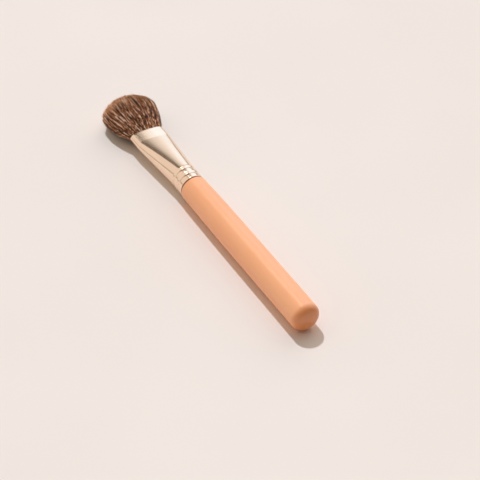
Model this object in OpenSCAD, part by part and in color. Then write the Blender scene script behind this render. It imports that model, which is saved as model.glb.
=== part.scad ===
// Blush brush, lying as it comes to rest on a table: a turned wooden handle, a metal
// ferrule pressed from one round tube, the fan of hair, and the glue that holds the hair.
// The brush is drawn along x, from the butt of the handle to the tips of the hair, and is
// then laid on its resting plane. Places on the ferrule are measured from its rear edge.

/* [Handle] */
// Length of the handle that shows, from its butt to the ferrule
handle_l = 96.3; // [80:0.5:140]
// Diameter of the straight rear stretch
handle_d = 13; // [12.6:0.1:15]
// Diameter at the front, beside the ferrule
handle_front_d = 12.3; // [12.2:0.05:12.6]
// Length of the straight rear stretch, measured from the butt
straight_l = 54; // [20:1:70]
// Radius of the fillet round the butt
butt_r = 3.7; // [1:0.1:5]
// Radius of the shallow dome on the butt
dome_r = 13; // [10:0.5:40]
// Length over which the front edge is rounded
shoulder_l = 0.6; // [0.3:0.1:2]
// Depth by which the front edge is rounded
shoulder_h = 0.5; // [0.1:0.05:0.5]
// Length of the tenon inside the ferrule
tenon_l = 13; // [10:0.5:15]

/* [Ferrule] */
// Length of the ferrule
ferrule_l = 41.9; // [38:0.5:60]
// Outside diameter of the round end
ferrule_d = 12; // [11.8:0.05:12.05]
// Thickness of the metal
wall = 0.35; // [0.3:0.05:0.5]
// Radius of the rounded rear edge
rim_r = 0.28; // [0.1:0.05:0.28]
// Width of the mouth, over its rounded sides
mouth_w = 16.4; // [14:0.1:19]
// Thickness of the mouth along the edges of its facets
edge_t = 4.4; // [4:0.1:6]
// Width of each rounded side at the mouth
side_w = 4.6; // [3:0.1:5.5]
// Height by which a rounded side would stand above the facet's edge
side_rise = 0.5; // [0.2:0.05:1]
// Rise of a facet at its middle, as a slope over its half width
crown = 0.07; // [0.02:0.01:0.12]
// Bow of the facets along their length, as a share of their fall
bow = 0.04; // [0:0.01:0.1]
// Length of the parallel lip at the mouth
lip_l = 6.5; // [3:0.1:9]
// Length of round tube between the second crimp and the facets
facet_gap = 0.35; // [0.35:0.05:2]
// Depth of the facets' edges where they start
facet_depth = 0.5; // [0.3:0.05:0.8]
// Length of the small step at the start of each facet
facet_step = 0.35; // [0.15:0.05:0.35]

/* [Crimps] */
// Place of the first crimp
crimp_x = 3.3; // [2:0.1:4]
// Distance between the two crimps
crimp_pitch = 3.8; // [2.5:0.1:5]
// Width of a crimp
crimp_w = 2.2; // [0.8:0.1:2.4]
// Depth of a crimp
crimp_depth = 0.3; // [0.1:0.05:0.4]

/* [Hair] */
// Length of the hair outside the ferrule
hair_l = 25.2; // [20:0.1:40]
// Width of the fan at its widest
fan_w = 25.5; // [21:0.1:34]
// Thickness of the fan at its thickest
fan_t = 12.6; // [10:0.1:24]
// Distance from the mouth to the widest place
fan_wide_x = 16.7; // [12:0.1:17]
// Distance from the mouth to the thickest place
fan_thick_x = 16.5; // [10:0.1:17]
// Distance by which the fan leans, to the left or, below 0, to the right
fan_lean = -0.3; // [-1.5:0.1:1.5]
// Depth of the furrows between the locks
lock_depth = 0.5; // [0:0.05:0.6]
// Number of locks round the fan
locks = 23; // [12:1:30]
// Distance by which the tips are uneven
tip_wander = 0.5; // [0:0.05:0.7]
// Depth by which the hair flattens where it lies
hair_press = 0.4; // [0.1:0.05:0.8]

/* [Glue and clearances] */
// Free length between the tenon and the glue plug
plug_gap = 5.44; // [0.3:0.02:8]
// Length of the glue plug behind the hair
plug_l = 6; // [3:0.5:7]
// Clearance round what sits inside the ferrule
fit_gap = 0.06; // [0.05:0.01:0.12]
// Gap between the handle's shoulder and the ferrule
seam_gap = 0.3; // [0.05:0.01:0.4]

/* [Hidden] */
$fn = 96;

wood = [0.93, 0.65, 0.46];
metal = [0.87, 0.76, 0.65];
resin = [0.80, 0.72, 0.55];
hair = [0.45, 0.29, 0.19];

handle_r = handle_d / 2;
front_r = handle_front_d / 2;
ferrule_r = ferrule_d / 2;
tenon_r = ferrule_r - wall - fit_gap;
ferrule_start = handle_l + seam_gap;
mouth_x = ferrule_start + ferrule_l;

// The dome and the fillet of the butt meet at dome_turn, and the fillet's centre is at butt_x
dome_turn = asin((handle_r - butt_r) / (dome_r - butt_r));
butt_x = dome_r - (dome_r - butt_r) * cos(dome_turn);

// Depth of the front edge's rounding, which leaves a face for the ferrule to meet
shoulder_drop = min(shoulder_h, front_r - tenon_r - 0.05);

facet_x = crimp_x + crimp_pitch + crimp_w / 2 + facet_gap;
facet_z = ferrule_r - facet_depth;
crease_x = ferrule_l - lip_l;
side_h = edge_t / 2 + side_rise;
// Softening of the edge between a facet and a side
edge_soft = 0.2;

// Roots of the hair, which sit on the glue plug, and the place where they are parallel with the lip
root_x = tenon_l + plug_gap + plug_l + fit_gap;
root_end = max(crease_x, root_x + 0.5);

// Exponents of the fan's rounded section: above, and below, where the hair spreads as it lies
fan_power = 2.3;
under_power = 3.4;
// Exponents of the crown of the hair, across its width and across its thickness
crown_w_power = 1.8;
crown_t_power = 2.6;
// Distance from the mouth over which the furrows reach their depth
furrow_rise = 7;

// Steps round a quarter of a ferrule section: the facet, up to facet_share, then the side
facet_share = 0.6;
tube_steps = concat([for (f = [0, 0.25, 0.5, 0.75, 0.93]) f * facet_share],
                    [for (f = [0, 0.04, 0.12, 0.22, 0.34, 0.47, 0.6, 0.74, 0.87])
                         facet_share + f * (1 - facet_share)]);
// Steps round a quarter of the hair
hair_steps = [for (i = [0 : 31]) i / 32];

// Places along the handle's taper, and the handle's radius at x
taper_l = handle_l - shoulder_l - straight_l;
taper_places = [for (f = [0 : 0.125 : 1]) straight_l + f * taper_l];
function handle_radius(x) =
    handle_r - (handle_r - front_r) * (1 - cos(90 * max(0, x - straight_l) / taper_l));

// The brush rests on its fan and on the front of the handle's straight stretch, or on the
// rear of the handle if the fan is the thicker of the two
rise = fan_t / 2 - handle_r;
touch_x = rise > 0 ? butt_x : straight_l;
reach = mouth_x + fan_thick_x - touch_x;
tilt = atan2(rise, reach) - asin(hair_press / norm([rise, reach]));
lift = max([for (x = concat([butt_x], taper_places)) handle_radius(x) * cos(tilt) - x * sin(tilt)]);

// Smaller of two heights, with the corner between them rounded over k
function soft_min(a, b, k) = min(a, b) - pow(max(k - abs(a - b), 0), 2) / (4 * k);

// Share of the way from the round tube, 0, to the pressed mouth, 1
function pressed(x) = max(0, min(1, (x - facet_x) / (crease_x - facet_x)));

// Depth of the crimps at x along the ferrule
function crimp(x) =
    let (d = min(abs(x - crimp_x), abs(x - crimp_x - crimp_pitch)))
    d < crimp_w / 2 ? crimp_depth * (1 + cos(360 * d / crimp_w)) / 2 : 0;

// Height of a facet's edge at x along the ferrule
function edge_z(x) = let (p = pressed(x)) facet_z + (edge_t / 2 - facet_z) * (p - bow * sin(180 * p));

// Point [y, z] at step q of a quarter of the ferrule's section at x, a depth g inside it
function tube_point(x, q, g) =
    let (p = pressed(x),
         r = ferrule_r - crimp(x) - g,
         side_a = r + (mouth_w / 2 - ferrule_r) * p,
         side_b = r + (side_h - ferrule_r) * p,
         mid = (mouth_w / 2 - side_w) * p,
         turn = acos(edge_z(x) / (ferrule_r + (side_h - ferrule_r) * p)),
         half = mid + (side_a - mid) * sin(turn),
         past = (q - facet_share) / (1 - facet_share),
         y = past < 0 ? half * q / facet_share
                      : mid + (side_a - mid) * sin(turn + (90 - turn) * past),
         s = max(0, y - mid) / (side_a - mid),
         side_z = side_b * sqrt(max(0, 1 - s * s)),
         facet_top = edge_z(x) - g + crown * (half * half - y * y) / half)
    [y, x < facet_x ? side_z : soft_min(side_z, facet_top, edge_soft)];

// Whole section of [y, z] points from a quarter above and one below, each from its middle to the side
function four_quarters(top, under, side) =
    let (n = len(top))
    concat([for (p = top) [p.x, p.y]],
           [side], [for (i = [n - 1 : -1 : 1]) [under[i].x, -under[i].y]],
           [for (p = under) [-p.x, -p.y]],
           [[-side.x, side.y]], [for (i = [n - 1 : -1 : 1]) [-top[i].x, top[i].y]]);

// Ring of the ferrule at x, a depth g inside it
function tube_ring(x, g, steps = tube_steps) =
    let (quarter = [for (q = steps) tube_point(x, q, g)])
    [for (p = four_quarters(quarter, quarter, tube_point(x, 1, g))) [ferrule_start + x, p.x, p.y]];

// Places along the ferrule that its form needs: the two crimps, then the facets
crimp_places = [for (c = [crimp_x, crimp_x + crimp_pitch], f = [-0.5, -0.3, -0.15, 0, 0.15, 0.3, 0.5])
                    c + f * crimp_w];
facet_places = [for (f = [0, 0.08, 0.2, 0.35, 0.5, 0.65, 0.8, 0.92, 1])
                    facet_x + facet_step + f * (crease_x - facet_x - facet_step)];
tube_places = concat(crimp_places, facet_places);

// Share of the fan's growth that is reached at f, from the mouth, 0, to the widest place, 1
function flare(f) = sin(90 * min(1, f));

// Share of its full size that the crown keeps at f, from the widest place, 0, to the tip, 1
function dome(f, power) = pow(max(0, 1 - pow(max(0, min(1, f)), power)), 1 / power);

// Point [y, z] of a quarter of the fan, x in front of the mouth
function fan_point(x, q, power) =
    let (start = tube_point(ferrule_l, q, wall + fit_gap),
         y = fan_w / 2 * pow(sin(90 * q), 2 / power),
         z = fan_t / 2 * pow(cos(90 * q), 2 / power))
    [(start.x + (y - start.x) * flare(x / fan_wide_x))
         * dome((x - fan_wide_x) / (hair_l - fan_wide_x), crown_w_power),
     (start.y + (z - start.y) * flare(x / fan_thick_x))
         * dome((x - fan_thick_x) / (hair_l - fan_thick_x), crown_t_power)];

// Depth of the furrows between the locks, at the share t of the way round the fan
function furrow(t, x) =
    let (lock = t * locks + 0.35 * sin(1080 * t + 40) + 0.25 * sin(360 * t + 9 * x))
    lock_depth * (1 - abs(sin(180 * lock))) * (0.75 + 0.25 * sin(1800 * t))
        * min(1, x / furrow_rise);

// Distance by which the tips at the share t stand out or fall short
function wander(t) = tip_wander * (0.5 * sin(2520 * t) + 0.3 * sin(4680 * t + 100)
                                   + 0.2 * sin(8280 * t));

// Ring of the fan, x in front of the mouth, with its locks, its lean and its flat underside
function fan_ring(x) =
    let (section = four_quarters([for (q = hair_steps) fan_point(x, q, fan_power)],
                                 [for (q = hair_steps) fan_point(x, q, under_power)],
                                 fan_point(x, 1, fan_power)),
         n = len(section),
         f = (x - fan_wide_x) / (hair_l - fan_wide_x),
         loose = max(0, sin(180 * min(1, max(0, f)))))
    [for (i = [0 : n - 1])
        let (p = section[i],
             t = i / n,
             keep = 1 - min(furrow(t, x), norm(p) / 4) / norm(p),
             px = mouth_x + x + wander(t) * loose,
             py = p.x * keep + fan_lean * pow(x / hair_l, 1.5),
             floor_z = -(lift + px * sin(tilt)) / cos(tilt))
        [px, py, max(p.y * keep, floor_z)]];

root_places = [for (f = [0 : 0.25 : 1]) root_x + f * (root_end - root_x)];
fan_places = concat([for (f = [0.04, 0.1, 0.18, 0.28, 0.38, 0.48, 0.58, 0.68, 0.78, 0.88])
                         f * fan_wide_x],
                    [for (a = [0 : 8.5 : 85])
                         fan_wide_x + (hair_l - fan_wide_x) * pow(sin(a), 2 / crown_w_power)]);
hair_rings = concat([for (x = concat(root_places, [ferrule_l]))
                         tube_ring(x, wall + fit_gap, hair_steps)],
                    [for (x = fan_places) fan_ring(x)]);

// Middle of the laid brush in plan
hair_points = [for (r = hair_rings) each r];
far_x = max([for (p = hair_points) p.x * cos(tilt) - p.z * sin(tilt)]);
near_x = dome_r * cos(tilt) - dome_r;
left_y = max([for (p = hair_points) p.y]);
right_y = min([for (p = hair_points) p.y]);

// Closed skin through rings of points: looped like a tube's wall, or capped at both ends
module skin(rings, looped = false) {
    n = len(rings[0]);
    m = len(rings);
    even = [for (i = [1 : n]) 1 / n];
    bands = [for (j = [0 : looped ? m - 1 : m - 2], i = [0 : n - 1])
                 [j * n + i, j * n + (i + 1) % n,
                  (j + 1) % m * n + (i + 1) % n, (j + 1) % m * n + i]];
    caps = [for (i = [0 : n - 1])
                each [[n * m, (i + 1) % n, i],
                      [n * m + 1, (m - 1) * n + i, (m - 1) * n + (i + 1) % n]]];
    if (looped)
        polyhedron([for (r = rings) each r], bands);
    else
        polyhedron(concat([for (r = rings) each r], [even * rings[0], even * rings[m - 1]]),
                   concat(bands, caps));
}

// Lays the brush, drawn along x, on its resting plane with its middle over the origin
module lay() {
    translate([-(near_x + far_x) / 2, -(left_y + right_y) / 2, lift]) rotate([0, -tilt, 0])
        children();
}

module handle() {
    butt = concat([for (a = [0 : 4]) let (t = dome_turn * a / 4)
                       [dome_r * sin(t), dome_r * (1 - cos(t))]],
                  [for (a = [1 : 9]) let (t = dome_turn + (90 - dome_turn) * a / 9)
                       [handle_r - butt_r + butt_r * sin(t), butt_x - butt_r * cos(t)]]);
    taper = [for (x = taper_places) [handle_radius(x), x]];
    shoulder = [for (t = [22.5 : 22.5 : 90])
                    [front_r - shoulder_drop * (1 - cos(t)),
                     handle_l - shoulder_l * (1 - sin(t))]];
    gripped = [for (x = crimp_places) [tenon_r - crimp(x), ferrule_start + x]];
    nose = [for (f = [0 : 0.25 : 1])
                let (x = facet_x + f * (tenon_l - facet_x),
                     inside = tube_point(max(x, facet_x + facet_step), 0, wall + fit_gap))
                [inside.y, ferrule_start + x]];
    color(wood) lay() rotate([0, 90, 0]) rotate_extrude()
        polygon(concat(butt, taper, shoulder,
                       [[tenon_r, handle_l]], gripped,
                       [[tenon_r, ferrule_start + facet_x - facet_step]], nose,
                       [[0, ferrule_start + tenon_l]]));
}

module ferrule() {
    rear = [for (t = [0 : 30 : 90]) [rim_r * (1 - cos(t)), rim_r * (1 - sin(t))]];
    front = [for (t = [0 : 45 : 180])
                 [ferrule_l - wall / 2 * (1 - sin(t)), wall / 2 * (1 - cos(t))]];
    outside = concat(rear, [for (x = tube_places) [x, 0]], front);
    inside = [for (i = [len(tube_places) - 1 : -1 : 0]) [tube_places[i], wall]];
    color(metal) lay()
        skin([for (v = concat(outside, inside, [[0, wall]])) tube_ring(v.x, v.y)], looped = true);
}

module glue_plug() {
    back = tenon_l + plug_gap;
    color(resin) lay()
        skin([for (f = [0 : 0.25 : 1]) tube_ring(back + f * plug_l, wall + fit_gap)]);
}

module hair_tuft() {
    color(hair) lay() skin(hair_rings);
}

handle();
ferrule();
glue_plug();
hair_tuft();
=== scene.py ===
"""Looks of the blush brush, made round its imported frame."""

import math

import bpy
import numpy as np
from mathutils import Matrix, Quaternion, Vector


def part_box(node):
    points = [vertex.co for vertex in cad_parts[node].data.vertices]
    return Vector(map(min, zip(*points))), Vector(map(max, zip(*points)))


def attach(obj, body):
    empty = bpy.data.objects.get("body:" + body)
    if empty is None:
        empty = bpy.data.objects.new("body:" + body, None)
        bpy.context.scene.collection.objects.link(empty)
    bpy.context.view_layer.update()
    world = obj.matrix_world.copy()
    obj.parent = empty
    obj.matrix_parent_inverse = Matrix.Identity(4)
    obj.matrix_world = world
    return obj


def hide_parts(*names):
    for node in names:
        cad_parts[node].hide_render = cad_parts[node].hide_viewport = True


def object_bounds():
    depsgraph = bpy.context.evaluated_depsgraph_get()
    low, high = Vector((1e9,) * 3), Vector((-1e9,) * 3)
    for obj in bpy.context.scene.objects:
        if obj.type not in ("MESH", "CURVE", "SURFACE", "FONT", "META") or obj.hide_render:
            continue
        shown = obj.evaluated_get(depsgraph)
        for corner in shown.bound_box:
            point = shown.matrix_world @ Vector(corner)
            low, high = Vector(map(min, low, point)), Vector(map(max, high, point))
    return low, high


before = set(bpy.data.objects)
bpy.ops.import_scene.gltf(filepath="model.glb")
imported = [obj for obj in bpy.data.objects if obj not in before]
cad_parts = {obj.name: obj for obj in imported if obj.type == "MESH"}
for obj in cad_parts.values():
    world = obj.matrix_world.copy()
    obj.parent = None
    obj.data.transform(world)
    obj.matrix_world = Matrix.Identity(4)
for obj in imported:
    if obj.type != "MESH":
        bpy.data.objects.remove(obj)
cad_low, cad_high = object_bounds()

MM = 0.001

# Sizes in millimetres, in the brush's own frame: x from the butt to the tips, y to the left, z up.
# They are those of the solids.

# Handle: its length that shows, its radius behind and in front, and its straight stretch
HANDLE_L, HANDLE_R, FRONT_R, STRAIGHT_L = 96.3, 6.5, 6.15, 54.0
# Radii of the butt's fillet and dome
BUTT_R, DOME_R = 3.7, 13.0
# Length and depth of the front edge's rounding, and the tenon's length
SHOULDER_L, SHOULDER_H, TENON_L = 0.6, 0.5, 13.0
# Ferrule: its length, its outside radius behind, the metal's thickness and the rear edge's radius
FERRULE_L, FERRULE_R, WALL, RIM_R = 41.9, 6.0, 0.35, 0.28
# Mouth: its width, its thickness at the facets' edges, and the width and rise of its rounded sides
MOUTH_W, EDGE_T, SIDE_W, SIDE_RISE = 16.4, 4.4, 4.6, 0.5
# Facets: their rise at the middle, their bow along their length, and the lip beyond them
CROWN, BOW, LIP_L = 0.07, 0.04, 6.5
# Facets' start: round tube before it, depth and length of its step, and how soft their edges are
FACET_GAP, FACET_DEPTH, FACET_STEP, EDGE_SOFT = 0.35, 0.5, 0.35, 0.2
# Crimps: place of the first, distance to the second, width and depth
CRIMP_X, CRIMP_PITCH, CRIMP_W, CRIMP_DEPTH = 3.3, 3.8, 2.2, 0.3
# Fan of hair: its length, width and thickness, and how far out it is widest and thickest
HAIR_L, FAN_W, FAN_T, FAN_WIDE_X, FAN_THICK_X = 25.2, 25.5, 12.6, 16.7, 16.5
# Lean of the fan to the left, its flattening where it lies, and the clearances in and behind the ferrule
FAN_LEAN, HAIR_PRESS, FIT_GAP, SEAM_GAP = -0.3, 0.4, 0.06, 0.3
# Exponents of the fan's section above and below, of its crown across width and thickness, and of its lean
FAN_POWER, UNDER_POWER, CROWN_W_POWER, CROWN_T_POWER = 2.3, 3.4, 1.8, 2.6
LEAN_POWER = 1.5

FERRULE_START = HANDLE_L + SEAM_GAP
MOUTH_X = FERRULE_START + FERRULE_L
FACET_X = CRIMP_X + CRIMP_PITCH + CRIMP_W / 2 + FACET_GAP
FACET_Z = FERRULE_R - FACET_DEPTH
CREASE_X = FERRULE_L - LIP_L
SIDE_H = EDGE_T / 2 + SIDE_RISE
TENON_R = FERRULE_R - WALL - FIT_GAP
# Share of a quarter of the ferrule's section that goes to its facet
FACET_SHARE = 0.6

# The fillet of the butt meets its dome at DOME_TURN, and the fillet's centre is at BUTT_X
DOME_TURN = math.asin((HANDLE_R - BUTT_R) / (DOME_R - BUTT_R))
BUTT_X = DOME_R - (DOME_R - BUTT_R) * math.cos(DOME_TURN)

# The handle tapers from its straight stretch to its shoulder
TAPER_L = HANDLE_L - SHOULDER_L - STRAIGHT_L
TAPER = [(STRAIGHT_L + f * TAPER_L, HANDLE_R - (HANDLE_R - FRONT_R) * (1 - math.cos(f * math.pi / 2)))
         for f in np.linspace(0, 1, 25)]

# The brush rests on its hair and on the front of the handle's straight stretch
RISE = FAN_T / 2 - HANDLE_R
REACH = MOUTH_X + FAN_THICK_X - STRAIGHT_L
TILT = math.atan2(RISE, REACH) - math.asin(HAIR_PRESS / math.hypot(RISE, REACH))
LIFT = max(r * math.cos(TILT) - x * math.sin(TILT) for x, r in TAPER)

# Edges sharper than this stay sharp
SHARP_ANGLE = math.radians(40)

# Hair strands: how many, and for each its steps along, its sides and the depth of its root in the mouth
STRAND_PIECES = 4
STRANDS_PER_PIECE = 3900
STRAND_STEPS = 8
STRAND_SIDES = 3
ROOT_DEPTH = 2
# Least and greatest radius of a strand, and the share of it that is gone at the tip
STRAND_R = (0.055, 0.09)
TAPER_SHARE = 0.7
# How far strands follow the crown as it closes: the middle value, the spread and the limits
CURL, CURL_SPREAD, CURL_LIMITS = 0.55, 0.1, (0.3, 0.8)
# Greatest share of the way out from the fan's middle
OUTERMOST = 0.985
# Strands' centre lines stay this far inside the tuft's outermost width and thickness
INSET = 0.2
# Least gap between a strand's end and the tip of the fan
TIP_GAP = 0.1
# Spread of how far strands end short of their crown
SHORTFALL = 0.8
# Share of strands that stand for a few stuck together, near the outside, and how much thicker they are
STOUT_SHARE = 0.1
STOUT_FACTOR = 2.1
# Size of the strands' slow wave, and its spread
WAVE = 0.05
# Share of strands whose ends stray, and the spread of those ends
STRAY_SHARE = 0.18
STRAY = 0.5
# Spread of a strand's own tone, where it is stout and where it is fine
STOUT_TONE, FINE_TONE = 0.9, 0.25

# Locks of strands: how many, and the spreads of their reach and of their lean at the tip
LOCKS = 900
LOCK_REACH = 0.4
LOCK_LEAN = 0.25
# Spreads of a lock's strands, as shares of the way round the fan and of the way out from its middle
LOCK_ROUND = 0.004
LOCK_OUT = 0.022
# Factor on those spreads at the mouth, and how much less it is further on
GATHER, GATHER_DROP = 1.6, 0.9
# Share of its lock's tone that a strand takes at its root, and how much more at its tip
SHARED, SHARED_RISE = 0.2, 0.6

# Streaks in the strands' tones and in their reach: how many round the fan, their length in
# millimetres and their strength
TONE_STREAKS = ((110, 4.0, 0.6), (190, 3.2, 0.9))
REACH_STREAKS = (150, 8.0, 0.3)
# Spread of the places round the fan at which strands take their streaks, as a share of the way round
STREAK_FRAY = 0.0012
SEED = 5

# Core under the strands, painted dark as the shade of the hair inside the tuft: its depth in the mouth,
# how far it ends short of the tip, its points round, its share of the way out at the mouth, and how much
# less that share is further on
CORE_ROOT, CORE_SHORT, CORE_STEPS = 3, 1.6, 120
CORE_SHARE, CORE_DROP = 0.97, 0.1

# Least heights of the core and of the strands over the floor
CORE_LIFT, STRAND_LIFT = 0.2, 0.02
# Radius of the floor, in metres, and its number of sides
FLOOR_R, FLOOR_SIDES = 3, 96


def smooth(value, low, high):
    """0 below low, 1 above high and a smooth step between them."""
    t = np.clip((value - low) / (high - low), 0, 1)
    return t * t * (3 - 2 * t)


def lay(points):
    """Points of the brush's own frame, in millimetres, as it lies in the row frame, in metres."""
    handle_low, handle_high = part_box("handle")
    near_x = DOME_R * math.cos(TILT) - DOME_R
    origin = (cad_low.x / MM - near_x, (handle_low.y + handle_high.y) / 2 / MM, LIFT)
    x, y, z = np.moveaxis(np.asarray(points, float), -1, 0)
    turned = (x * math.cos(TILT) - z * math.sin(TILT), y, z * math.cos(TILT) + x * math.sin(TILT))
    return (np.stack(turned, -1) + origin) * MM


def mesh_piece(name, points, faces, material, node):
    """A smooth piece that rides on the brush and stands for a CAD node."""
    mesh = bpy.data.meshes.new(name)
    mesh.from_pydata(points.reshape(-1, 3).tolist(), [], faces)
    mesh.shade_smooth()
    mesh.set_sharp_from_angle(angle=SHARP_ANGLE)
    mesh.materials.append(material)
    piece = bpy.data.objects.new(name, mesh)
    bpy.context.scene.collection.objects.link(piece)
    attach(piece, "root")
    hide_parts(node)


def band_faces(rings, around, loop_rings=False):
    """Quads between rings of points, with a step to the next ring and a step round."""
    bands = np.arange(rings if loop_rings else rings - 1)
    j, i = np.meshgrid(bands, np.arange(around), indexing="ij")
    j2, i2 = (j + 1) % rings, (i + 1) % around
    quads = np.stack([j * around + i, j2 * around + i, j2 * around + i2, j * around + i2], -1)
    return quads.reshape(-1, 4)


def capped_faces(rings, around):
    """Faces of rings of points, closed at both ends by fans round the two points that follow them."""
    first = np.arange(around)
    last = first + (rings - 1) * around
    near = np.stack([np.full(around, rings * around), first, np.roll(first, -1)], -1)
    far = np.stack([np.full(around, rings * around + 1), np.roll(last, -1), last], -1)
    return [*band_faces(rings, around).tolist(), *near.tolist(), *far.tolist()]


# Ferrule

def pressed(x):
    """Share of the way from the round tube, 0, to the pressed mouth, 1."""
    return np.clip((x - FACET_X) / (CREASE_X - FACET_X), 0, 1)


def crimp(x):
    """Depth of the two crimps at x along the ferrule."""
    d = np.minimum(abs(x - CRIMP_X), abs(x - CRIMP_X - CRIMP_PITCH))
    return np.where(d < CRIMP_W / 2, CRIMP_DEPTH * (1 + np.cos(2 * np.pi * d / CRIMP_W)) / 2, 0)


def edge_z(x):
    """Height of a facet's edge at x along the ferrule."""
    p = pressed(x)
    return FACET_Z + (EDGE_T / 2 - FACET_Z) * (p - BOW * np.sin(np.pi * p))


def tube_point(x, q, g):
    """y and z at step q of a quarter of the ferrule's section at x, a depth g inside it."""
    p = pressed(x)
    r = FERRULE_R - crimp(x) - g
    side_a = r + (MOUTH_W / 2 - FERRULE_R) * p
    side_b = r + (SIDE_H - FERRULE_R) * p
    mid = (MOUTH_W / 2 - SIDE_W) * p
    turn = np.arccos(edge_z(x) / (FERRULE_R + (SIDE_H - FERRULE_R) * p))
    half = mid + (side_a - mid) * np.sin(turn)
    past = np.maximum(q - FACET_SHARE, 0) / (1 - FACET_SHARE)
    arc_y = mid + (side_a - mid) * np.sin(turn + (np.pi / 2 - turn) * past)
    y = np.where(q < FACET_SHARE, half * q / FACET_SHARE, arc_y)
    s = np.maximum(0, y - mid) / (side_a - mid)
    side_z = side_b * np.sqrt(np.maximum(0, 1 - s * s))
    facet_top = edge_z(x) - g + CROWN * (half * half - y * y) / half
    overlap = np.maximum(EDGE_SOFT - abs(side_z - facet_top), 0)
    faceted = np.minimum(side_z, facet_top) - overlap ** 2 / (4 * EDGE_SOFT)
    share = smooth(x, FACET_X - FACET_GAP, FACET_X + FACET_STEP)
    return y, side_z + (faceted - side_z) * share


def four_quarters(y, z):
    """Closed sections from their quarters, whose last axis runs from the top to the side."""
    back = slice(-2, 0, -1)
    ys = [y, y[..., back], -y[..., :1], -y[..., 1:], -y[..., back]]
    zs = [z, -z[..., back], -z[..., :1], -z[..., 1:], z[..., back]]
    return np.concatenate(ys, -1), np.concatenate(zs, -1)


def ferrule_piece(material):
    """The drawn tube, as rings that go along its outside, round its lip and back along its inside."""
    # Steps round a quarter, closer together at the facet's edge
    facet = np.linspace(0, 1, 13)[:-1] ** 0.8 * FACET_SHARE
    side = FACET_SHARE + np.linspace(0, 1, 22) ** 1.15 * (1 - FACET_SHARE)
    q = np.concatenate([facet, side])
    # Places along the tube: its round end, the step, the facets, the crease and the lip
    crease_x = CREASE_X + np.array([-0.4, -0.2, -0.08, 0, 0.08, 0.2, 0.4])
    round_x = np.linspace(RIM_R, FACET_X - FACET_GAP, 56)[1:]
    step_x = np.linspace(FACET_X - FACET_GAP, FACET_X + FACET_STEP, 7)[1:]
    facet_x = np.linspace(FACET_X + FACET_STEP, crease_x[0], 44)[1:-1]
    lip_x = np.linspace(crease_x[-1], FERRULE_L - WALL / 2, 8)[1:-1]
    along = np.concatenate([round_x, step_x, facet_x, crease_x, lip_x])
    # x of each ring, and its depth inside the tube's outside
    rear = [(RIM_R * (1 - math.cos(t)), RIM_R * (1 - math.sin(t)))
            for t in np.linspace(0, math.pi / 2, 6)]
    outside = [(x, 0) for x in along]
    lip = [(FERRULE_L - WALL / 2 * (1 - math.sin(t)), WALL / 2 * (1 - math.cos(t)))
           for t in np.linspace(0, math.pi, 9)]
    inside = [(x, WALL) for x in along[::-1]]
    profile = np.array(rear + outside + lip + inside + [(0, WALL)])
    y, z = four_quarters(*tube_point(profile[:, :1], q[None], profile[:, 1:]))
    x = np.broadcast_to(FERRULE_START + profile[:, :1], y.shape)
    points = lay(np.stack([x, y, z], -1))
    faces = band_faces(*y.shape, loop_rings=True).tolist()
    mesh_piece("ferrule_drawn", points, faces, material, "ferrule")


# Handle

def handle_profile():
    """x and radius along the handle, from the middle of the butt to the middle of the tenon's nose."""
    butt = [(DOME_R * (1 - math.cos(t)), DOME_R * math.sin(t)) for t in np.linspace(0, DOME_TURN, 12)]
    fillet = [(BUTT_X - BUTT_R * math.cos(t), HANDLE_R - BUTT_R + BUTT_R * math.sin(t))
              for t in np.linspace(DOME_TURN, math.pi / 2, 20)[1:]]
    straight = [(x, HANDLE_R) for x in np.linspace(BUTT_X, STRAIGHT_L, 12)[1:]]
    shoulder = [(HANDLE_L - SHOULDER_L * (1 - math.sin(t)), FRONT_R - SHOULDER_H * (1 - math.cos(t)))
                for t in np.linspace(0, math.pi / 2, 9)[1:]]
    gripped = [(FERRULE_START + x, TENON_R - float(crimp(x)))
               for x in np.linspace(CRIMP_X - CRIMP_W / 2, FACET_X - FACET_GAP, 36)]
    nose = []
    for x in np.linspace(FACET_X, TENON_L, 8):
        height = tube_point(max(x, FACET_X + FACET_STEP), 0.0, WALL + FIT_GAP)[1]
        nose.append((FERRULE_START + x, float(height)))
    shown = butt + fillet + straight + TAPER[1:] + shoulder
    tenon = [(HANDLE_L, TENON_R)] + gripped + [(FERRULE_START + FACET_X - FACET_STEP, TENON_R)] + nose
    return np.array(shown + tenon + [(FERRULE_START + TENON_L, 0)])


def handle_piece(material):
    """The turned handle, as its profile swept round its axis."""
    profile = handle_profile()
    turn = np.linspace(0, 2 * np.pi, 161)[:-1]
    x = np.broadcast_to(profile[1:-1, :1], (len(profile) - 2, len(turn)))
    rings = np.stack([x, profile[1:-1, 1:] * np.sin(turn), profile[1:-1, 1:] * np.cos(turn)], -1)
    ends = [[profile[0, 0], 0, 0], [profile[-1, 0], 0, 0]]
    points = lay(np.concatenate([rings.reshape(-1, 3), ends]))
    mesh_piece("handle_lacquered", points, capped_faces(*x.shape), material, "handle")


# Hair

def flare(f):
    """Share of the fan's growth that is reached at f, from the mouth, 0, to the widest place, 1."""
    return np.sin(np.pi / 2 * np.clip(f, 0, 1))


def dome(f, power):
    """Share of its full size that the crown keeps at f, from the widest place, 0, to the tip, 1."""
    return np.maximum(0, 1 - np.clip(f, 0, 1) ** power) ** (1 / power)


def crown(x):
    """The crown's shares across the width and across the thickness, x in front of the mouth."""
    wide = dome((x - FAN_WIDE_X) / (HAIR_L - FAN_WIDE_X), CROWN_W_POWER)
    thick = dome((x - FAN_THICK_X) / (HAIR_L - FAN_THICK_X), CROWN_T_POWER)
    return wide, thick


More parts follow.
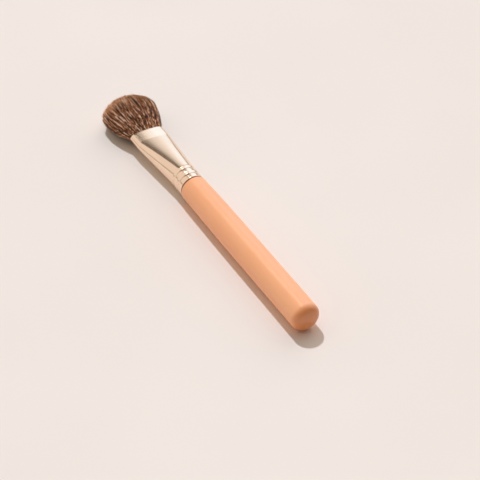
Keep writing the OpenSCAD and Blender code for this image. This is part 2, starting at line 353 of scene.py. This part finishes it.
def fan_direction(t):
    """y and z, each up to 1, of the fan's rounded section at the share t round it from the top."""
    a = 2 * np.pi * t
    power = np.where(np.cos(a) > 0, FAN_POWER, UNDER_POWER)
    y = np.sign(np.sin(a)) * abs(np.sin(a)) ** (2 / power)
    z = np.sign(np.cos(a)) * abs(np.cos(a)) ** (2 / power)
    return y, z


def mouth_point(t):
    """y and z of the inside of the mouth at the share t of the way round from the top."""
    quarter = abs((t * 4 + 1) % 2 - 1)
    y, z = tube_point(np.full_like(t, FERRULE_L), quarter, WALL + FIT_GAP)
    a = 2 * np.pi * t
    return np.sign(np.sin(a)) * y, np.sign(np.cos(a)) * z


def fan_point(x, t, depth, curl):
    """Points of the fan, x in front of the mouth, at the share t round it and the share depth of the
    way out from its middle. With curl 1 the crown closes at the tip, and with 0 it stays open."""
    my, mz = mouth_point(t)
    fy, fz = fan_direction(t)
    wide, thick = crown(x)
    y = my + (fy * FAN_W / 2 - my) * flare(x / FAN_WIDE_X)
    z = mz + (fz * FAN_T / 2 - mz) * flare(x / FAN_THICK_X)
    y = y * depth * (1 + (wide - 1) * curl)
    z = z * depth * (1 + (thick - 1) * curl)
    y = y + FAN_LEAN * (np.clip(x, 0, HAIR_L) / HAIR_L) ** LEAN_POWER
    return np.stack(np.broadcast_arrays(MOUTH_X + x, y, z), -1)


def keep_off_floor(points, least):
    """Points in the row frame with none lower than least, in metres."""
    points[..., 2] = np.maximum(points[..., 2], least)
    return points


def core_piece(material):
    """Body of the tuft, which closes the gaps between the strands; its dark brown is painted shade of the
    hair inside.
    """
    rise = np.array([0.01, 0.06, 0.12, 0.2, 0.3, 0.4, 0.5, 0.6, 0.7, 0.8, 0.9, 1]) * FAN_WIDE_X
    top = HAIR_L - CORE_SHORT
    tip = FAN_WIDE_X + (top - FAN_WIDE_X) * np.sin(np.linspace(0.1, 1.5, 16))
    x = np.concatenate([[-CORE_ROOT], rise, tip])[:, None]
    # The core has the fan's form, with the crown squeezed to end at its own top
    squeezed = (x - FAN_WIDE_X).clip(0) / (top - FAN_WIDE_X) * (HAIR_L - FAN_WIDE_X)
    full_x = np.where(x > FAN_WIDE_X, FAN_WIDE_X + squeezed, x)
    t = np.broadcast_to(np.arange(CORE_STEPS) / CORE_STEPS, (len(x), CORE_STEPS))
    points = fan_point(full_x, t, CORE_SHARE - CORE_DROP * smooth(x, 0, 8), 1)
    points[..., 0] = MOUTH_X + x
    ends = [points[0].mean(0), points[-1].mean(0)]
    laid = lay(np.concatenate([points.reshape(-1, 3), ends]))
    laid = keep_off_floor(laid, CORE_LIFT * MM)
    mesh_piece("hair_core", laid, capped_faces(*t.shape), material, "hair_tuft")


def streak_tone(rng, across, length, strength, t, x):
    """Tones in streaks at the share t round the fan, with so many across the whole way round."""
    cells = rng.normal(0, strength, (across, int(HAIR_L / length) + 3))
    shift = rng.random(across)
    column = (t * across).astype(int) % across
    at = np.clip(x, 0, HAIR_L) / length + shift[column]
    row = at.astype(int)
    share = smooth(at - row, 0.25, 0.75)
    return cells[column, row] * (1 - share) + cells[column, row + 1] * share


def crown_place(t, depth, curl):
    """How far in front of the mouth strands meet the crown, from their t, depth and curl."""
    probe = np.linspace(0.3 * HAIR_L, HAIR_L, 90)
    fy, fz = fan_direction(t)
    wide, thick = crown(probe)
    wide, thick = wide.clip(1e-4), thick.clip(1e-4)
    out_y = abs(fy * depth)[:, None] * (1 + (wide - 1) * curl[:, None]) / wide
    out_z = abs(fz * depth)[:, None] * (1 + (thick - 1) * curl[:, None]) / thick
    beyond = out_y ** FAN_POWER + out_z ** FAN_POWER > 1
    first = np.where(beyond.any(1), beyond.argmax(1), len(probe) - 1)
    return probe[first]


def strand_paths(rng, count):
    """Centre lines of strands, their tones and their radii."""
    # Half of the locks lie anywhere in the fan, and the others in its outer half
    lock_t = rng.random(LOCKS)
    lock_depth = np.sqrt(rng.uniform(np.where(rng.random(LOCKS) < 0.5, 0, 0.5), 1))
    lock_tone = rng.normal(0, 1, LOCKS)
    lock_reach = rng.normal(0, LOCK_REACH, LOCKS)
    mine = rng.integers(0, LOCKS, count)
    spread_t = rng.normal(0, LOCK_ROUND, count)
    spread_depth = rng.normal(0, LOCK_OUT, count)
    curl = rng.normal(CURL, CURL_SPREAD, count).clip(*CURL_LIMITS)
    stout = rng.random(count) < STOUT_SHARE
    base_depth = np.where(stout, rng.uniform(0.95, 1, count), lock_depth[mine])
    base_t = lock_t[mine]

    # Each strand ends near the crown
    depth = (base_depth + spread_depth).clip(0.05, OUTERMOST)
    uneven = streak_tone(rng, *REACH_STREAKS, base_t + spread_t, HAIR_L * depth)
    reach = lock_reach[mine] + uneven
    end = crown_place(base_t + spread_t, depth, curl) + reach
    end = end - abs(rng.normal(0, SHORTFALL, count))
    end = np.minimum(end, HAIR_L - TIP_GAP)

    # The strands of a lock gather on their way out
    f = np.linspace(0, 1, STRAND_STEPS + 1)
    x = -ROOT_DEPTH + (end[:, None] + ROOT_DEPTH) * f
    gather = GATHER - GATHER_DROP * smooth(x, 0, 9)
    t = base_t[:, None] + spread_t[:, None] * gather
    depth = base_depth[:, None] + spread_depth[:, None] * gather
    points = fan_point(x, t % 1, depth.clip(0.03, OUTERMOST), curl[:, None])

    # A slow wave in each strand, a stray end in a few, and a lean of each lock's own
    phase = rng.random((2, count, 1)) * 2 * np.pi
    size = abs(rng.normal(WAVE, WAVE, (2, count, 1))) * smooth(x, 0, 12)
    wave = size * np.sin(phase + 2.5 * f * np.pi)
    stray = rng.normal(0, 1, (2, count, 1)) * (rng.random((1, count, 1)) < STRAY_SHARE)
    lock_lean = rng.normal(0, LOCK_LEAN, (2, LOCKS, 1))[:, mine]
    offset = wave + STRAY * stray * smooth(x, 6, HAIR_L) + lock_lean * smooth(x, 9, HAIR_L)
    points[..., 1:] += np.moveaxis(offset, 0, -1)
    half = np.array([FAN_W / 2 - INSET, FAN_T / 2 - INSET])
    middle = np.array([FAN_LEAN * (FAN_WIDE_X / HAIR_L) ** LEAN_POWER, 0])
    points[..., 1:] = points[..., 1:].clip(middle - half, middle + half)

    # A tone of the strand's own, one that its lock shares, more so at the tip, and streaks
    own = rng.normal(0, 1, count) * np.where(stout, STOUT_TONE, FINE_TONE)
    shared = SHARED + SHARED_RISE * smooth(f, 0.6, 0.95)
    fray = rng.normal(0, STREAK_FRAY, count)[:, None]
    tone = own[:, None] + lock_tone[mine][:, None] * shared
    tone = tone + sum(streak_tone(rng, *s, (t + fray) % 1, x) for s in TONE_STREAKS)
    radius = rng.uniform(*STRAND_R, count) * np.where(stout, STOUT_FACTOR, 1)
    return points, tone, radius


def strand_piece(name, points, tone, radius, material):
    """Tapered tubes along the strands' centre lines, as one piece."""
    count, rings, _ = points.shape
    along = np.gradient(points, axis=1)
    along /= np.linalg.norm(along, axis=-1, keepdims=True)
    side = np.cross(along, [0.0, 0.0, 1.0])
    side /= np.linalg.norm(side, axis=-1, keepdims=True)
    up = np.cross(side, along)
    turn = np.arange(STRAND_SIDES) / STRAND_SIDES * 2 * np.pi
    f = np.linspace(0, 1, rings)
    # A strand keeps its width for most of its length
    width = radius[:, None] * (1 - TAPER_SHARE * f ** 3)
    out = side[:, :, None] * np.cos(turn)[:, None] + up[:, :, None] * np.sin(turn)[:, None]
    skin = points[:, :, None] + width[:, :, None, None] * out
    laid = keep_off_floor(lay(skin), STRAND_LIFT * MM)
    quads = band_faces(rings, STRAND_SIDES)
    faces = quads[None] + (np.arange(count) * rings * STRAND_SIDES)[:, None, None]
    faces = faces.reshape(-1, 4)
    mesh = bpy.data.meshes.new(name)
    mesh.vertices.add(laid.size // 3)
    mesh.vertices.foreach_set("co", laid.astype(np.float32).ravel())
    mesh.loops.add(faces.size)
    mesh.loops.foreach_set("vertex_index", faces.astype(np.int32).ravel())
    mesh.polygons.add(len(faces))
    mesh.polygons.foreach_set("loop_start", np.arange(0, faces.size, 4, dtype=np.int32))
    mesh.update(calc_edges=True)
    mesh.shade_smooth()
    for label, values in (("tone", np.broadcast_to(tone[:, :, None], skin.shape[:3])),
                          ("along", np.broadcast_to(f[None, :, None], skin.shape[:3]))):
        layer = mesh.attributes.new(label, "FLOAT", "POINT")
        layer.data.foreach_set("value", values.astype(np.float32).ravel())
    mesh.materials.append(material)
    piece = bpy.data.objects.new(name, mesh)
    bpy.context.scene.collection.objects.link(piece)
    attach(piece, "root")
    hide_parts("hair_tuft")


def hair_pieces(material):
    """All the strands, in pieces of the same number."""
    rng = np.random.default_rng(SEED)
    points, tone, radius = strand_paths(rng, STRAND_PIECES * STRANDS_PER_PIECE)
    for i in range(STRAND_PIECES):
        mine = slice(i * STRANDS_PER_PIECE, (i + 1) * STRANDS_PER_PIECE)
        strand_piece(f"hair_strands_{i + 1}", points[mine], tone[mine], radius[mine], material)


# Materials

def srgb(r, g, b):
    """Linear colour of an sRGB colour given from 0 to 255."""
    linear = [c / 255 / 12.92 if c < 11 else ((c / 255 + 0.055) / 1.055) ** 2.4 for c in (r, g, b)]
    return (*linear, 1)


class Nodes:
    """Short calls for the nodes of one tree."""

    def __init__(self, tree):
        self.tree = tree

    def feed(self, socket, value):
        if isinstance(value, bpy.types.NodeSocket):
            self.tree.links.new(value, socket)
        else:
            socket.default_value = value

    def node(self, kind, inputs=None, **settings):
        made = self.tree.nodes.new(kind)
        for label, value in settings.items():
            setattr(made, label, value)
        for label, value in (inputs or {}).items():
            self.feed(made.inputs[label], value)
        return made

    def maths(self, operation, *values):
        inputs = dict(enumerate(values))
        return self.node("ShaderNodeMath", inputs, operation=operation).outputs[0]

    def product(self, first, *others):
        for other in others:
            first = self.maths("MULTIPLY", first, other)
        return first

    def span(self, value, low, high, to_low=0.0, to_high=1.0, kind="LINEAR"):
        inputs = {"Value": value, "From Min": low, "From Max": high, "To Min": to_low, "To Max": to_high}
        return self.node("ShaderNodeMapRange", inputs, interpolation_type=kind).outputs["Result"]

    def step(self, value, low, high):
        return self.span(value, low, high, kind="SMOOTHSTEP")

    def mix(self, share, first, second):
        inputs = {"Fac": share, "Color1": first, "Color2": second}
        return self.node("ShaderNodeMixRGB", inputs).outputs["Color"]

    def noise(self, scale, detail=3.0):
        """Noise whose features are about 1 / scale millimetres along each axis."""
        at = self.node("ShaderNodeTexCoord").outputs["Object"]
        sized = self.node("ShaderNodeMapping", {"Vector": at, "Scale": [s / MM for s in scale]})
        inputs = {"Vector": sized.outputs["Vector"], "Scale": 1.0, "Detail": detail, "Roughness": 0.55}
        return self.node("ShaderNodeTexNoise", inputs).outputs["Fac"]

    def bump(self, height, distance):
        """Normals of a bump whose height is the distance, in millimetres."""
        inputs = {"Height": height, "Distance": distance * MM, "Strength": 1.0}
        return self.node("ShaderNodeBump", inputs).outputs["Normal"]


class Finish(Nodes):
    """One material, with short calls for its surface's sockets."""

    def __init__(self, name):
        self.material = bpy.data.materials.new(name)
        self.material.use_nodes = True
        super().__init__(self.material.node_tree)
        self.surface = self.tree.nodes["Principled BSDF"]

    def set(self, **values):
        for label, value in values.items():
            self.feed(self.surface.inputs[label.replace("_", " ")], value)
        return self.material


def lacquer():
    """Satin peach lacquer over turned wood."""
    s = Finish("peach_lacquer")
    tone = s.span(s.noise((0.03, 0.12, 0.12), 2.0), 0.3, 0.7)
    peach = s.mix(tone, srgb(254, 175, 124), srgb(255, 180, 129))
    place = s.node("ShaderNodeTexCoord").outputs["Object"]
    along = s.node("ShaderNodeSeparateXYZ", {"Vector": place}).outputs["X"]
    rear, front = float(lay([0, 0, 0])[0]), float(lay([HANDLE_L, 0, 0])[0])
    # Deeper orange round the butt is painted shade on its end, and dark red-brown at the lacquer's front
    # edge beside the ferrule is painted shade in the seam
    peach = s.mix(s.step(along, rear + 5 * MM, rear + 1 * MM), peach, srgb(246, 154, 92))
    # Painted shade: dark red-brown band on the front rounding, where the seam's crease is
    edge = s.step(along, front - 0.7 * MM, front - 0.45 * MM)
    return s.set(
        Base_Color=s.mix(edge, peach, srgb(132, 52, 22)),
        Roughness=s.span(s.noise((0.5, 0.5, 0.5)), 0.3, 0.7, 0.36, 0.42),
        Normal=s.bump(s.noise((1.1, 1.1, 1.1), 2.0), 0.012),
        Specular_IOR_Level=0.95)


def champagne_metal():
    """Drawn aluminium with a champagne finish and faint lines along the draw."""
    s = Finish("champagne_metal")
    tone = s.span(s.noise((0.05, 0.4, 0.4), 2.0), 0.3, 0.7)
    lines = s.noise((0.06, 5.0, 5.0))
    return s.set(
        Base_Color=s.mix(tone, srgb(245, 218, 193), srgb(249, 222, 197)),
        Metallic=1.0,
        Roughness=s.span(lines, 0.3, 0.7, 0.12, 0.16),
        Normal=s.bump(lines, 0.004))


def hair_fibre():
    """Soft brown hair: each strand has its own tone, and its tip is lighter and warmer than its root. The
    tones are partly the hair's own and partly painted shade between locks and painted highlights on them.
    """
    s = Finish("brown_hair")
    own = s.node("ShaderNodeAttribute", attribute_name="tone").outputs["Fac"]
    clumps = s.span(s.noise((0.25, 1.9, 1.9)), 0.25, 0.75, -3.0, 3.0)
    along = s.node("ShaderNodeAttribute", attribute_name="along").outputs["Fac"]
    tone = s.maths("ADD", s.maths("ADD", own, clumps), s.span(along, 0.8, 1.0, 0.0, 0.9))
    # Dark to light tones: partly the hair's own colour, partly painted shade between locks and painted
    # highlights along them
    strand = s.mix(s.span(tone, -1.5, 0.4), srgb(42, 19, 8), srgb(149, 85, 46))
    strand = s.mix(s.span(tone, 0.4, 2.1), strand, srgb(226, 160, 112))
    # Near-white tone: painted glints on the strands
    strand = s.mix(s.span(tone, 2.0, 2.6), strand, srgb(250, 232, 216))
    return s.set(
        Base_Color=s.mix(s.span(along, 0.85, 1.0, 0.0, 0.5), strand, srgb(244, 180, 130)),
        Roughness=0.45,
        Specular_IOR_Level=0.25)


def hair_shade():
    """Deep brown between the strands: painted shade of the hair inside the tuft."""
    s = Finish("hair_shade")
    streaks = s.noise((0.08, 3.0, 3.0))
    return s.set(
        Base_Color=s.mix(s.span(streaks, 0.3, 0.7), srgb(62, 34, 20), srgb(120, 76, 50)),
        Roughness=0.7,
        Normal=s.bump(streaks, 0.3))


def glue_resin():
    """Set glue, amber and slightly uneven."""
    s = Finish("glue_resin")
    tone = s.noise((0.6, 0.6, 0.6))
    return s.set(
        Base_Color=s.mix(s.span(tone, 0.3, 0.7), srgb(196, 178, 134), srgb(212, 194, 150)),
        Roughness=0.35,
        Normal=s.bump(tone, 0.1))


def floor_paint():
    """Matt pale floor."""
    s = Finish("pale_floor")
    tone = s.span(s.noise((0.01, 0.01, 0.01), 2.0), 0.3, 0.7)
    return s.set(
        Base_Color=s.mix(tone, srgb(241, 230, 224), srgb(243, 233, 227)),
        Roughness=0.9,
        Specular_IOR_Level=0.1)


# Camera, light and floor

def add_camera():
    """Looks down along the brush from behind its butt and to its left, from a metre away."""
    aim = Vector((-0.01844, -0.00449, 0))
    distance, azimuth, elevation, roll = 1.0040, -32.624, 40.561, 3.854
    a, e = math.radians(azimuth), math.radians(elevation)
    forward = Vector((math.cos(a) * math.cos(e), math.sin(a) * math.cos(e), -math.sin(e)))
    data = bpy.data.cameras.new("camera")
    data.sensor_width = 36
    data.lens = 177.32
    data.clip_start, data.clip_end = 0.05, 50
    camera = bpy.data.objects.new("camera", data)
    camera.location = aim - forward * distance
    camera.rotation_mode = "QUATERNION"
    turned = Quaternion((0, 0, 1), math.radians(roll))
    camera.rotation_quaternion = forward.to_track_quat("-Z", "Y") @ turned
    bpy.context.scene.collection.objects.link(camera)
    bpy.context.scene.camera = camera


def add_sun():
    """The key light: from beyond the hair, high up, a little soft, and not mirrored by anything."""
    data = bpy.data.lights.new("key", "SUN")
    data.energy = 2.07
    data.color = (0.835, 0.908, 1.0)
    data.angle = math.radians(2.5)
    sun = bpy.data.objects.new("key", data)
    travel = Vector((-0.788, 0.105, -1))
    sun.visible_glossy = False
    sun.rotation_mode = "QUATERNION"
    sun.rotation_quaternion = travel.to_track_quat("-Z", "Y")
    bpy.context.scene.collection.objects.link(sun)


def add_floor():
    """A wide flat disc that the brush lies on."""
    mesh = bpy.data.meshes.new("floor")
    turns = np.linspace(0, 2 * math.pi, FLOOR_SIDES + 1)[:-1]
    ring = [(FLOOR_R * math.cos(a), FLOOR_R * math.sin(a), 0) for a in turns]
    mesh.from_pydata(ring, [], [list(range(len(ring)))])
    mesh.materials.append(floor_paint())
    floor = bpy.data.objects.new("floor", mesh)
    bpy.context.scene.collection.objects.link(floor)


def add_world():
    """Fill for the matt surfaces, brightest on the right, and what the metal mirrors: a pale room with
    a window on the right, a dark band ahead, a lamp above it and a thin dark horizon."""
    world = bpy.data.worlds.new("studio")
    world.use_nodes = True
    bpy.context.scene.world = world
    n = Nodes(world.node_tree)
    ray = n.node("ShaderNodeTexCoord").outputs["Generated"]
    x, y, z = n.node("ShaderNodeSeparateXYZ", {"Vector": ray}).outputs
    azimuth = n.maths("MULTIPLY", n.maths("ARCTAN2", y, x), 180 / math.pi)
    elevation = n.maths("MULTIPLY", n.maths("ARCSINE", z), 180 / math.pi)

    side = n.product(n.step(azimuth, -90, -60), n.step(azimuth, -18, -34), n.step(elevation, 62, 48))
    fill = n.mix(n.step(y, -0.2, 0.5), (0.59, 0.58, 0.56, 1), (0.755, 0.69, 0.575, 1))
    fill = n.mix(n.step(x, 0.1, -0.55), fill, (0.07, 0.045, 0.02, 1))
    fill = n.mix(side, fill, (1.9, 1.8, 1.65, 1))

    window = n.product(n.step(azimuth, -115, -85), n.step(azimuth, 0, -14),
                       n.step(elevation, 6, 24), n.step(elevation, 74, 58))
    panes = n.mix(n.step(azimuth, -33, -26), (1.08, 1.30, 1.54, 1), (1.02, 1.02, 1.03, 1))
    room = n.mix(n.step(x, -0.1, -0.6), (0.87, 0.80, 0.745, 1), (0.70, 0.60, 0.51, 1))
    mirrored = n.mix(window, room, panes)
    band = n.product(n.step(azimuth, -29, -15), n.step(azimuth, 13, 9), n.step(elevation, 56, 48))
    mirrored = n.mix(band, mirrored, (0.2, 0.17, 0.145, 1))
    lamp = n.product(n.step(azimuth, -24, -12), n.step(azimuth, 14, 4),
                     n.step(elevation, 47, 54), n.step(elevation, 76, 68))
    mirrored = n.mix(lamp, mirrored, (7.0, 7.0, 7.3, 1))
    line = n.product(n.step(elevation, 1, 3), n.step(elevation, 10, 8))
    shade = n.mix(n.step(azimuth, 0, -30), (0.48, 0.41, 0.35, 1), (0.2, 0.15, 0.12, 1))
    mirrored = n.mix(line, mirrored, shade)

    path = n.node("ShaderNodeLightPath").outputs
    light = n.mix(path["Is Glossy Ray"], fill, mirrored)
    light = n.mix(path["Is Camera Ray"], light, srgb(248, 240, 234))
    n.feed(world.node_tree.nodes["Background"].inputs["Color"], light)


bpy.context.scene.view_settings.view_transform = "Standard"
add_camera()
add_sun()
add_world()
add_floor()
handle_piece(lacquer())
ferrule_piece(champagne_metal())
core_piece(hair_shade())
hair_pieces(hair_fibre())
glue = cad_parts["glue_plug"]
glue.data.materials.clear()
glue.data.materials.append(glue_resin())
